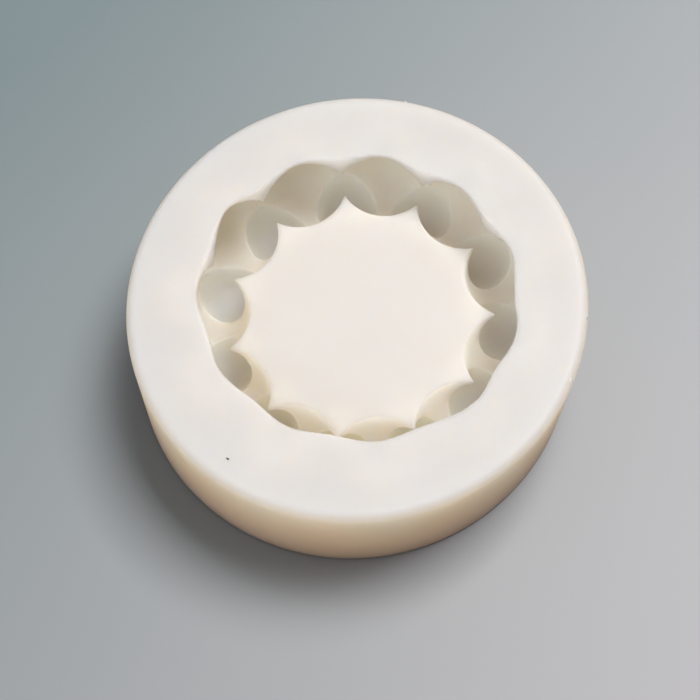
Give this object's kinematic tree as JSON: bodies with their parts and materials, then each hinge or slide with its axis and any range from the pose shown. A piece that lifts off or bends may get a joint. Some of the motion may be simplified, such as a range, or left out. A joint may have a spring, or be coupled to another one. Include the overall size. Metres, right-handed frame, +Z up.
{
  "type": "resin casting mould",
  "caption": "Round one-piece silicone casting mould: a shallow round recess ringed by big ball pockets, with a ring of smaller ball pockets below them, open at the top.",
  "frame": {"origin": "on the flat base, on the axis of the two rings of ball pockets", "axes": "+Z up, out of the opening; +Y away from the side that the picture was taken from; +X to its right"},
  "size_m": [0.0857, 0.084, 0.0261],
  "materials": {
    "silicone": "satin, translucent milky white",
    "grit": "matt, almost black"
  },
  "bodies": {
    "root": {"mould_body": "silicone", "rim_grain": "grit"}
  },
  "joints": []
}
